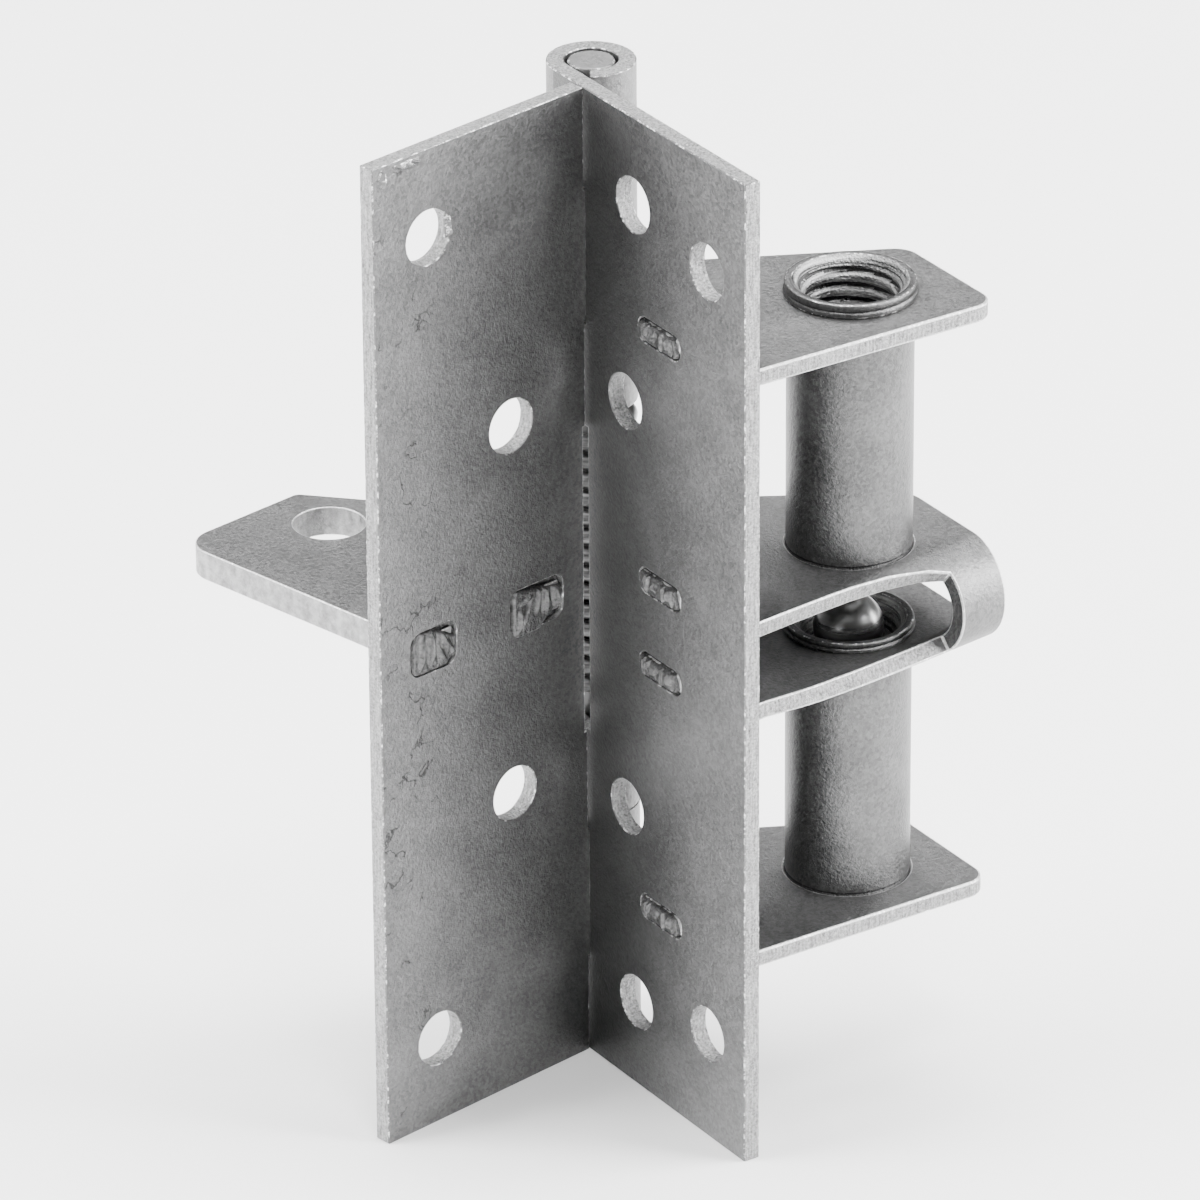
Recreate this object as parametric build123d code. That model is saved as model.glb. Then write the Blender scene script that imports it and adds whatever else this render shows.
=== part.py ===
from build123d import *
import math
import os

os.makedirs("parts", exist_ok=True)

# Sizes are in millimetres. The hinge is drawn about its pin axis, the vertical line
# through x = 0, y = 0, with its lower end at z = 0. The catch leaf lies along +X with
# its front face towards -Y. The last section moves the whole hinge to its origin.
# A point of either leaf is given as (along, behind): the distance from the pin axis
# along the leaf, and the distance behind the leaf's front face.

# Leaves and barrel
leaf_height = 120.0
leaf_reach = 37.5
sheet = 2.0
barrel_radius = 5.0
pin_clearance = 0.05
pin_chamfer = 0.3
roll_end_gap = 0.1
end_knuckle = 12.0
tongue_knuckle = 16.5
inner_knuckle = 12.5
knuckle_gap = 0.2
stop_gap = 0.07
window_gap = 0.35
v_angle = 79.3

# Screw holes, as (along the leaf, distance above and below mid height)
screw_hole_radius = 3.25
catch_screws = {"inner": (15.7, 49.5), "outer": (30.1, 47.0), "middle": (14.0, 25.2)}
tongue_screws = {"outer": (29.4, 49.5), "inner": (17.4, 22.8)}

# Catch brackets: two plates and a folded bracket, all centred a little below mid height
bracket_drop = 0.4
bracket_sheet = 2.0
plate_offset = 35.8
arm_offset = 5.2
plate_near = 35.2
plate_depth = 35.0
plate_far_base = 7.6
plate_far_turn = 14.0
plate_far_corner = 18.0
plate_corner_radius = 2.6
bracket_depth = 36.0
bracket_far_base = 7.0
bracket_far_turn = 18.1
bracket_far_corner = 17.8
bracket_far_radius = 3.0

# Tabs of the brackets, peened in slots of the catch leaf
bracket_tab_centre = 20.8
bracket_tab_width = 7.6
slot_side_clearance = 0.3
slot_height_clearance = 0.5
slot_corner_radius = 1.3
tab_recess = 0.25

# The bracket's slanted fold, and its cut-away waist: at each distance behind the leaf's
# front, how far round the bend the upper and lower arm are cut back, in degrees
fold_along_near = 34.95
fold_along_far = 29.95
waist_cuts = [(-1.0, 6.0, 0.0), (5.0, 7.0, 3.0), (11.6, 8.0, 19.0), (16.7, 10.0, 26.0),
              (21.6, 16.0, 31.5), (26.0, 26.5, 36.0), (28.8, 38.5, 38.5)]
waist_reach = 12.0

# Tubes, balls and what they hold
tube_along = 24.1
tube_behind = 23.1
tube_radius = 7.1
tube_bore_radius = 5.1
tube_fit = 0.05
lip_radius = 7.4
lip_height = 0.9
plate_stand = 1.6
arm_stand = 1.2
mouth_radius = 6.45
lip_edge = 0.2
ball_radius = 4.0
ball_centre_offset = 4.3
ball_spring_wire = 0.55
ball_spring_clearance = 0.15
ball_spring_turns = 5.5
ball_seat_gap = 0.03
set_screw_length = 8.0
set_screw_depth = 8.0
set_screw_clearance = 0.05
hex_socket_across = 6.0
hex_socket_depth = 4.5

# Tongue plate on the other leaf
tongue_thickness = 3.5
tongue_near_base = 31.9
tongue_near_outer = 33.8
tongue_depth = 36.9
tongue_far_base = 9.2
tongue_far_turn = 26.8
tongue_far_corner = 16.2
tongue_near_radius = 3.6
tongue_far_radius = 1.2
tongue_hole_radius = 4.1
tongue_hole = (18.7, 28.7)
tongue_tabs = {"outer": (29.5, 5.9), "inner": (13.8, 7.1)}
tongue_slot_clearance = 0.5
tongue_slot_rise = 0.9
tongue_slot_corner_radius = 1.4

# Closing spring round the pin
closing_wire = 0.9
closing_inner_clearance = 0.2
closing_turns = 14
closing_leg_reach = 9.0
closing_leg_gap = 0.05
closing_end_gap = 0.3

# What follows from the sizes above
pin_radius = barrel_radius - sheet - pin_clearance
bore_radius = barrel_radius - sheet
mid_height = leaf_height / 2
bracket_mid = mid_height - bracket_drop
notch_edge = barrel_radius / math.tan(math.radians(v_angle / 2)) + stop_gap
window_edge = notch_edge + window_gap
knuckle_steps = [0.0, end_knuckle, end_knuckle + tongue_knuckle,
                 end_knuckle + tongue_knuckle + inner_knuckle]
window_low = knuckle_steps[-1]
window_high = leaf_height - window_low
arm_inner = arm_offset - bracket_sheet / 2
arm_outer = arm_offset + bracket_sheet / 2


def behind(along, depth):
    """Plan point of a leaf that lies along +X with its front face towards -Y."""
    return (along, depth - barrel_radius)


def mirrored_span(low, high):
    """The span and its mirror image about mid height."""
    return [(low, high), (leaf_height - high, leaf_height - low)]


def plan_prism(corners, low, high):
    """Upright prism over a plan outline of (along, behind, corner radius) corners."""
    points = [behind(along, depth) for along, depth, radius in corners]
    radii = [radius for along, depth, radius in corners]
    outline = make_face(FilletPolyline(*points, radius=radii, close=True))
    return Pos(0, 0, low) * extrude(outline, high - low)


def slab(along_low, along_high, behind_low, behind_high, low, high):
    """Plain block between two distances along a leaf and two distances behind it."""
    corners = [(along_low, behind_low, 0), (along_high, behind_low, 0),
               (along_high, behind_high, 0), (along_low, behind_high, 0)]
    return plan_prism(corners, low, high)


def roll_profile():
    """Section of a knuckle: a strip of the leaf rolled round the pin until it closes."""
    closing_edge = -math.asin((bore_radius - roll_end_gap) / barrel_radius)
    reach = 2 * barrel_radius
    wedge = make_face(Polyline(
        (0, 0), (0, -reach), (reach, -reach),
        (reach * math.cos(closing_edge), reach * math.sin(closing_edge)), close=True))
    strip = Rectangle(notch_edge, sheet, align=(Align.MIN, Align.MIN))
    return Circle(barrel_radius) - Circle(bore_radius) - wedge + Pos(0, -barrel_radius) * strip


def knuckle(low, high):
    """One knuckle between two heights, with the strip that joins it to its leaf."""
    return Pos(0, 0, low) * extrude(roll_profile(), high - low)


def front_hole(along, height, radius):
    """Cutter for a round hole through the leaf's sheet."""
    start = Plane(origin=(along, -barrel_radius - sheet, height), x_dir=(1, 0, 0), z_dir=(0, 1, 0))
    return start * extrude(Circle(radius), 3 * sheet)


def front_slot(centre, width, height, level, corner):
    """Cutter for a slot with rounded corners through the leaf's sheet."""
    start = Plane(origin=(centre, -barrel_radius - sheet, level), x_dir=(1, 0, 0), z_dir=(0, 1, 0))
    return start * extrude(RectangleRounded(width, height, corner), 3 * sheet)


def leaf(knuckle_spans, screws):
    """A leaf of flat sheet with its own knuckles, window and screw holes."""
    body = slab(notch_edge, leaf_reach, 0, sheet, 0, leaf_height)
    body -= slab(0, window_edge, -sheet, 2 * sheet, window_low, window_high)
    for low, high in knuckle_spans:
        body += knuckle(low, high)
    for along, offset in screws.values():
        for side in (-1, 1):
            body -= front_hole(along, mid_height + side * offset, screw_hole_radius)
    return body


def catch_leaf():
    """The fixed leaf, with the four slots that hold the catch brackets."""
    spans = mirrored_span(knuckle_steps[0], knuckle_steps[1]) + mirrored_span(*knuckle_steps[2:])
    body = leaf(spans, catch_screws)
    width = bracket_tab_width + 2 * slot_side_clearance
    height = bracket_sheet + 2 * slot_height_clearance
    for offset in (-plate_offset, -arm_offset, arm_offset, plate_offset):
        level = bracket_mid + offset
        body -= front_slot(bracket_tab_centre, width, height, level, slot_corner_radius)
    return body


def tongue_leaf():
    """The swinging leaf, with the two slots that hold the tongue plate."""
    low = knuckle_steps[1] + knuckle_gap
    high = knuckle_steps[2] - knuckle_gap
    body = leaf(mirrored_span(low, high), tongue_screws)
    height = tongue_thickness + 2 * tongue_slot_rise
    for centre, width in tongue_tabs.values():
        slot_width = width + 2 * tongue_slot_clearance
        body -= front_slot(centre, slot_width, height, bracket_mid, tongue_slot_corner_radius)
    return body


def hinge_pin():
    """Plain pin through all the knuckles, flush with the barrel's ends."""
    pin = Pos(0, 0, mid_height) * Cylinder(pin_radius, leaf_height)
    return chamfer(pin.edges().filter_by(GeomType.CIRCLE), pin_chamfer)


def coil_with_legs(mean_radius, wire_radius, turns, low, high, leg_length, start_angle):
    """Left-handed coil between two heights, with a straight tangent leg at each end."""
    pitch = (high - low) / turns
    helix = Helix(pitch, high - low, mean_radius, lefthand=True)
    helix = Pos(0, 0, low) * Rot(0, 0, start_angle) * helix
    ends = [helix @ 0, helix @ 1]
    path = [Line(ends[0] - (helix % 0) * leg_length, ends[0]), helix,
            Line(ends[1], ends[1] + (helix % 1) * leg_length)]
    wire = Wire(path)
    section = Plane(origin=wire @ 0, z_dir=wire % 0) * Circle(wire_radius)
    return sweep(section, path=wire)


def closing_spring():
    """Torsion spring in the window, one leg against the back of each leaf."""
    mean_radius = pin_radius + closing_inner_clearance + closing_wire
    tip = (closing_leg_reach, -bore_radius + closing_wire + closing_leg_gap)
    tip_radius = math.hypot(*tip)
    half = math.degrees(math.acos(mean_radius / tip_radius))
    upper_angle = math.degrees(math.atan2(tip[1], tip[0])) + half
    lower_angle = -v_angle - upper_angle
    leg_length = math.sqrt(tip_radius ** 2 - mean_radius ** 2)
    part_turn = ((lower_angle - upper_angle) % 360) / 360
    turns = closing_turns + part_turn
    drop = 2 * closing_wire + closing_end_gap
    room = window_high - window_low - 2 * drop
    low = window_low + drop
    return coil_with_legs(mean_radius, closing_wire, turns, low, low + room, leg_length, lower_angle)


def catch_plate(offset):
    """Flat plate behind the catch leaf at a height above the brackets' middle."""
    low = bracket_mid + offset - bracket_sheet / 2
    high = low + bracket_sheet
    corners = [(plate_far_base, sheet, 0), (plate_near, sheet, 0),
               (plate_near, plate_depth, plate_corner_radius),
               (plate_far_corner, plate_depth, bracket_far_radius),
               (plate_far_base, plate_far_turn, bracket_far_radius)]
    body = plan_prism(corners, low, high) + bracket_tab(low, high)
    return body - tube_cut(low, high)


def bracket_tab(low, high):
    """Tab that passes through its slot in the catch leaf."""
    half = bracket_tab_width / 2
    return slab(bracket_tab_centre - half, bracket_tab_centre + half, tab_recess, sheet, low, high)


def tube_cut(low, high):
    """Cutter for the hole that a tube passes through."""
    x, y = behind(tube_along, tube_behind)
    middle = (low + high) / 2
    return Pos(x, y, middle) * Cylinder(tube_radius + tube_fit, high - low + sheet)


def fold_section(depth):
    """Plane across the bracket's fold behind the leaf's front, x out of the bend and y up."""
    near = Vector(*behind(fold_along_near, 0), bracket_mid)
    far = Vector(*behind(fold_along_far, bracket_depth), bracket_mid)
    fold = (far - near).normalized()
    outward = Vector(fold.Y, -fold.X, 0)
    return Plane(origin=near + fold * (depth / fold.Y), x_dir=outward, z_dir=-fold)


def u_bracket():
    """Bracket folded into a U on a slanted line, its waist cut away beside the fold."""
    arms = Pos(-leaf_reach, 0) * (Rectangle(2 * leaf_reach, 2 * arm_outer)
                                  - Rectangle(2 * leaf_reach, 2 * arm_inner))
    bend = (Circle(arm_outer) - Circle(arm_inner)) & (Pos(leaf_reach, 0)
                                                      * Rectangle(2 * leaf_reach, 2 * leaf_reach))
    folded = extrude(fold_section(2 * leaf_reach) * (arms + bend), 3 * leaf_reach)
    low = bracket_mid - arm_outer
    high = bracket_mid + arm_outer
    outside = fold_along_near + waist_reach
    corners = [(bracket_far_base, sheet, 0), (outside, sheet, 0), (outside, bracket_depth, 0),
               (bracket_far_corner, bracket_depth, bracket_far_radius),
               (bracket_far_base, bracket_far_turn, bracket_far_radius)]
    body = (folded & plan_prism(corners, low, high)) - waist_cut()
    for offset in (-arm_offset, arm_offset):
        arm_low = bracket_mid + offset - bracket_sheet / 2
        body += bracket_tab(arm_low, arm_low + bracket_sheet)
        body -= tube_cut(arm_low, arm_low + bracket_sheet)
    return body


def waist_cut():
    """Cutter for the folded bracket's near side, square to the sheet all along the waist."""
    sections = []
    for depth, upper, lower in waist_cuts:
        up = math.radians(upper)
        down = math.radians(lower)
        top = waist_reach * math.cos(up)
        bottom = -waist_reach * math.cos(down)
        outline = Polyline((0, 0), (waist_reach * math.sin(up), top), (2 * waist_reach, top),
                           (2 * waist_reach, bottom), (waist_reach * math.sin(down), bottom), close=True)
        sections.append(fold_section(depth) * make_face(outline))
    return loft(sections, ruled=True)


def tube(side):
    """Threaded tube between a plate and an arm, with a swaged lip at each end."""
    inner_end = arm_inner - arm_stand
    outer_end = plate_offset + bracket_sheet / 2 + plate_stand
    bevel = mouth_radius - tube_bore_radius
    profile = Polyline(
        (tube_bore_radius, inner_end + bevel), (mouth_radius, inner_end),
        (lip_radius - lip_edge, inner_end), (lip_radius, inner_end + lip_edge),
        (lip_radius, inner_end + lip_height), (tube_radius, inner_end + lip_height),
        (tube_radius, outer_end - lip_height), (lip_radius, outer_end - lip_height),
        (lip_radius, outer_end - lip_edge), (lip_radius - lip_edge, outer_end),
        (mouth_radius, outer_end), (tube_bore_radius, outer_end - bevel), close=True)
    body = revolve(Plane.XZ * make_face(profile), Axis.Z)
    return place_on_tube_axis(body, side)


def place_on_tube_axis(body, side):
    """Put a piece drawn above its own origin on the tube axis, upright or upside down."""
    x, y = behind(tube_along, tube_behind)
    if side < 0:
        body = mirror(body, Plane.XY)
    return Pos(x, y, bracket_mid) * body


def ball(side):
    """Catch ball, trapped between its spring and the other ball."""
    return place_on_tube_axis(Pos(0, 0, ball_centre_offset) * Sphere(ball_radius), side)


def set_screw_levels():
    """Inner and outer face of a set screw, from the brackets' middle."""
    outer = plate_offset + bracket_sheet / 2 + plate_stand - set_screw_depth
    return outer - set_screw_length, outer


def set_screw(side):
    """Set screw that backs the ball spring, with a hexagon socket facing the mouth."""
    inner, outer = set_screw_levels()
    radius = tube_bore_radius - set_screw_clearance
    body = Pos(0, 0, (inner + outer) / 2) * Cylinder(radius, outer - inner)
    body = chamfer(body.edges().filter_by(GeomType.CIRCLE), lip_height / 2)
    socket = RegularPolygon(hex_socket_across / 2, 6, major_radius=False)
    body -= Pos(0, 0, outer - hex_socket_depth) * extrude(socket, hex_socket_depth + sheet)
    return place_on_tube_axis(body, side)


def ball_spring(side):
    """Compression spring from the set screw to the ball, which sits in its last coil."""
    mean_radius = tube_bore_radius - ball_spring_clearance - ball_spring_wire
    touch = ball_radius + ball_spring_wire + ball_seat_gap
    seat = ball_centre_offset + math.sqrt(touch ** 2 - mean_radius ** 2)
    far = set_screw_levels()[0] - ball_spring_wire - ball_seat_gap
    helix = Pos(0, 0, seat) * Helix((far - seat) / ball_spring_turns, far - seat, mean_radius)
    section = Plane(origin=helix @ 0, z_dir=helix % 0) * Circle(ball_spring_wire)
    return place_on_tube_axis(sweep(section, path=helix), side)


def tongue_plate():
    """Thick plate behind the swinging leaf, with the hole that the balls snap into."""
    low = bracket_mid - tongue_thickness / 2
    high = bracket_mid + tongue_thickness / 2
    corners = [(tongue_far_base, sheet, 0), (tongue_near_base, sheet, 0),
               (tongue_near_outer, tongue_depth, tongue_near_radius),
               (tongue_far_corner, tongue_depth, tongue_far_radius),
               (tongue_far_base, tongue_far_turn, tongue_near_radius)]
    body = plan_prism(corners, low, high)
    for centre, width in tongue_tabs.values():
        body += slab(centre - width / 2, centre + width / 2, tab_recess, sheet, low, high)
    x, y = behind(*tongue_hole)
    return body - Pos(x, y, bracket_mid) * Cylinder(tongue_hole_radius, 2 * tongue_thickness)


def on_tongue_side(body):
    """Turn a piece drawn for the catch leaf's side over and out to the tongue leaf's place."""
    return Rot(0, 0, -v_angle) * mirror(body, Plane.XZ)


def hinge():
    """Every piece of the hinge by name, drawn about the pin axis."""
    pieces = {
        "catch_leaf": catch_leaf(),
        "tongue_leaf": on_tongue_side(tongue_leaf()),
        "tongue_plate": on_tongue_side(tongue_plate()),
        "hinge_pin": hinge_pin(),
        "closing_spring": closing_spring(),
        "top_plate": catch_plate(plate_offset),
        "bottom_plate": catch_plate(-plate_offset),
        "u_bracket": u_bracket(),
    }
    for name, side in (("upper", 1), ("lower", -1)):
        pieces[name + "_tube"] = tube(side)
        pieces[name + "_ball"] = ball(side)
        pieces[name + "_ball_spring"] = ball_spring(side)
        pieces[name + "_set_screw"] = set_screw(side)
    return pieces


# The origin is the centre of the catch leaf's middle pair of screw holes, in the
# plane of the leaf's back, which seats on what the hinge is screwed to.
origin = (catch_screws["middle"][0], sheet - barrel_radius, mid_height)
placement = Pos(-origin[0], -origin[1], -origin[2])

for name, body in hinge().items():
    export_step(placement * body, f"parts/{name}.step")

x, y = behind(tube_along, tube_behind)
catch_angle = 360 - v_angle - math.degrees(math.atan2(y, x))
x, y = behind(*tongue_hole)
catch_angle -= math.degrees(math.atan2(y, x))
print(f"Swing from rest to the catch: {catch_angle:.2f} degrees")
print(f"Pin axis at x = {-origin[0]:.3f}, y = {-origin[1]:.3f}")
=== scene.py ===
import logging
import math
from collections.abc import Callable
from dataclasses import dataclass
from enum import Enum, IntEnum

import bmesh
import bpy
from bmesh.types import BMesh, BMFace, BMVert
from bpy.types import Material
from bpy.types import NodeSocket as Socket
from mathutils import Matrix, Vector, noise


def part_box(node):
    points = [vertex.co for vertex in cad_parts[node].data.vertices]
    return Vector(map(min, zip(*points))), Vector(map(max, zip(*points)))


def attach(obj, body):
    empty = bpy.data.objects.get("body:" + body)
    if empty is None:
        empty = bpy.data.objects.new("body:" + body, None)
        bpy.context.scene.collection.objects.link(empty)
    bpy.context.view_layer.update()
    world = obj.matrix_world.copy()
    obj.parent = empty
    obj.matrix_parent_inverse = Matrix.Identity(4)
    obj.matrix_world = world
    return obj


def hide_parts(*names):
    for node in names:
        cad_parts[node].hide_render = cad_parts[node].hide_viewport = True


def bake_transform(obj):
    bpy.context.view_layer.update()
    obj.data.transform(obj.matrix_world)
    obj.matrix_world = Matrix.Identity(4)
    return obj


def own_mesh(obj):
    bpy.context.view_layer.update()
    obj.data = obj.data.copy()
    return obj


log = logging.getLogger("concealed_hinge")
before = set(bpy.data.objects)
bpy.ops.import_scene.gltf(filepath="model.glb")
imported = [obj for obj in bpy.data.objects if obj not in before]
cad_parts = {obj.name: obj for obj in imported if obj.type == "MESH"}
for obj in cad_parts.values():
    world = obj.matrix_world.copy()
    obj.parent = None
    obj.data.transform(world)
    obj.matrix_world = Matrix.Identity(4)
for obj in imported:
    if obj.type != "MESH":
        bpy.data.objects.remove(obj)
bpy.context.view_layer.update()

# Sizes are in mm and this turns them into metres; effects and finishes count per metre and in metres
MM = 0.001
Grey = tuple[float, float, float, float]
Plan = tuple[float, float]
Triple = tuple[float, float, float]
Outline = list[tuple[float, float, int]]

# Where most of a noise's values lie, and a stretch that leaves it even
NOISE_SPAN = (0.3, 0.7)
EVEN = (1.0, 1.0, 1.0)

# The corner of the V in plan, where the two leaves' front faces meet, in mm
V_CORNER = (-7.97, -2.0)


def grey(level: float) -> Grey:
    """Mix an even grey.

    Args:
        level: Linear brightness, from 0 to 1.

    Returns:
        The colour with an alpha of one.
    """
    return (level, level, level, 1.0)


class Surface(Enum):
    """Which of a pressed piece's finishes a face takes; the extra one, with painted shade, is for a front or
    the fold's ends.
    """

    FLAT = 0
    SHEARED = 1
    ARRIS = 2
    PAINTED_SHADE = 3


class Turned(IntEnum):
    """Which of a tube's finishes a ring of faces takes."""

    COAT = 0
    THREAD = 1
    RUBBED = 2
    # Painted shade in the grooves, under the lips and in the thread's deep roots
    PAINTED_SHADE_CREVICE = 3


class PinPart(IntEnum):
    """Which of the pin's finishes a ring of faces takes."""

    COAT = 0
    RUBBED = 1


class Graph:
    """A node tree that is being laid out, for a finish or an effect."""

    def __init__(self, tree: bpy.types.NodeTree) -> None:
        """Start on an empty tree.

        Args:
            tree: The node tree to fill.
        """
        self.tree = tree
        self.tree.nodes.clear()

    def add(self, kind: str, inputs: dict | None = None, **settings: object) -> bpy.types.Node:
        """Place a node, set it up and feed it.

        Args:
            kind: The node's type.
            inputs: Each input's name or number, with its value or the socket that feeds it.
            **settings: The node's own settings.

        Returns:
            The new node.
        """
        node = self.tree.nodes.new(kind)
        count = len(self.tree.nodes)
        node.location = (220 * (count % 8), -260 * (count // 8))
        for name, value in settings.items():
            setattr(node, name, value)
        for name, value in (inputs or {}).items():
            if isinstance(value, Socket):
                self.tree.links.new(value, node.inputs[name])
            else:
                node.inputs[name].default_value = value
        return node

    def scaled(self, value: Socket, low: float, high: float, to_low: float = 0.0,
               to_high: float = 1.0) -> Socket:
        """Stretch a value from one span to another, held at its ends.

        Args:
            value: The socket to read.
            low: Where the old span starts.
            high: Where the old span ends.
            to_low: What the start becomes.
            to_high: What the end becomes.

        Returns:
            The stretched value's socket.
        """
        node = self.add("ShaderNodeMapRange", {0: value, 1: low, 2: high, 3: to_low, 4: to_high})
        return node.outputs[0]

    def maths(self, operation: str, first: object, second: object = 0.0) -> Socket:
        """Work out one sum of two values.

        Args:
            operation: The sum's name, such as ADD.
            first: The first value or socket.
            second: The second value or socket.

        Returns:
            The answer's socket.
        """
        return self.add("ShaderNodeMath", {0: first, 1: second}, operation=operation).outputs[0]

    def weighed(self, first: object, second: object, share: float) -> Socket:
        """Average two values by weight.

        Args:
            first: The first value or socket.
            second: The second value or socket.
            share: The second one's share, from 0 to 1.

        Returns:
            The average's socket.
        """
        kept = self.maths("MULTIPLY", first, 1 - share)
        return self.maths("ADD", kept, self.maths("MULTIPLY", second, share))

    def around(self, tone: Socket, middle: float, spread: Plan) -> Socket:
        """Let a value vary with a tone about its middle.

        Args:
            tone: The tone's socket, from 0 to 1.
            middle: The value's middle.
            spread: How far it goes below and above the middle.

        Returns:
            The varied value's socket.
        """
        return self.scaled(tone, 0.0, 1.0, middle + spread[0], middle + spread[1])

    def colour(self, share: Socket, first: object, second: object) -> Socket:
        """Mix two colours.

        Args:
            share: How much of the second colour shows.
            first: The first colour or its socket.
            second: The second colour or its socket.

        Returns:
            The mixed colour's socket.
        """
        return self.add("ShaderNodeMix", {0: share, 6: first, 7: second}, data_type="RGBA").outputs[2]

    def dress(self, **inputs: object) -> None:
        """End a finish with its metal shader and output.

        Args:
            **inputs: The shader's inputs, with spaces in their names written as underscores.
        """
        named = {label.replace("_", " "): value for label, value in inputs.items()}
        shader = self.add("ShaderNodeBsdfPrincipled", named)
        self.add("ShaderNodeOutputMaterial", {"Surface": shader.outputs[0]})

    def bump(self, height: Socket, depth: float) -> Socket:
        """Turn a height into a normal.

        Args:
            height: The height's socket.
            depth: How deep one unit of height is, in metres.

        Returns:
            The normal's socket.
        """
        return self.add("ShaderNodeBump", {"Distance": depth, "Height": height}).outputs[0]


class Effect:
    """A shader node group that several finishes share."""

    noise_turn: Triple = (0.6, 0.9, 0.4)

    def __init__(self, name: str, inputs: dict[str, float], outputs: tuple[str, ...]) -> None:
        """Make the group with its named sockets.

        Args:
            name: The group's name.
            inputs: Each input's name and usual value.
            outputs: The names of what the group puts out.
        """
        self.group = bpy.data.node_groups.new(name, "ShaderNodeTree")
        self.graph = Graph(self.group)
        for label, value in inputs.items():
            socket = self.group.interface.new_socket(label, in_out="INPUT", socket_type="NodeSocketFloat")
            socket.default_value = value
        for label in outputs:
            self.group.interface.new_socket(label, in_out="OUTPUT", socket_type="NodeSocketFloat")
        self.start = self.graph.add("NodeGroupInput").outputs
        self.end = self.graph.add("NodeGroupOutput").inputs
        self.place = self.graph.add("ShaderNodeTexCoord").outputs["Object"]

    def turned(self, turn: Triple) -> Socket:
        """Turn the place on the piece, so that a pattern's lattice isn't in line with its faces.

        Args:
            turn: The turn about x, y and z, in radians.

        Returns:
            The turned place's socket.
        """
        return self.graph.add("ShaderNodeVectorRotate", {"Vector": self.place, "Rotation": turn},
                              rotation_type="EULER_XYZ").outputs[0]

    def noise(self, stretch: Triple, scale: Socket, **inputs: float) -> Socket:
        """Lay a noise over the piece, stretched along some axes.

        Args:
            stretch: How fast the noise changes along x, y and z.
            scale: The noise's scale socket.
            **inputs: The noise's other inputs.

        Returns:
            The noise's socket.
        """
        if stretch == EVEN:
            laid = self.turned(self.noise_turn)
        else:
            laid = self.graph.add("ShaderNodeMapping", {"Vector": self.place, "Scale": stretch}).outputs[0]
        return self.graph.add("ShaderNodeTexNoise", {"Vector": laid, "Scale": scale, **inputs}).outputs["Fac"]

    def give(self, label: str, value: Socket) -> None:
        """Join a value to one of the group's outputs.

        Args:
            label: The output's name.
            value: The socket to join to it.
        """
        self.group.links.new(value, self.end[label])

    def put(self, graph: Graph, **values: float) -> bpy.types.bpy_prop_collection:
        """Place the group in a finish with its own values.

        Args:
            graph: The finish's node tree.
            **values: Input values, with spaces in their names written as underscores.

        Returns:
            The group node's outputs.
        """
        node = graph.add("ShaderNodeGroup", node_tree=self.group)
        for label, value in values.items():
            node.inputs[label.replace("_", " ")].default_value = value
        return node.outputs


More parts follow.
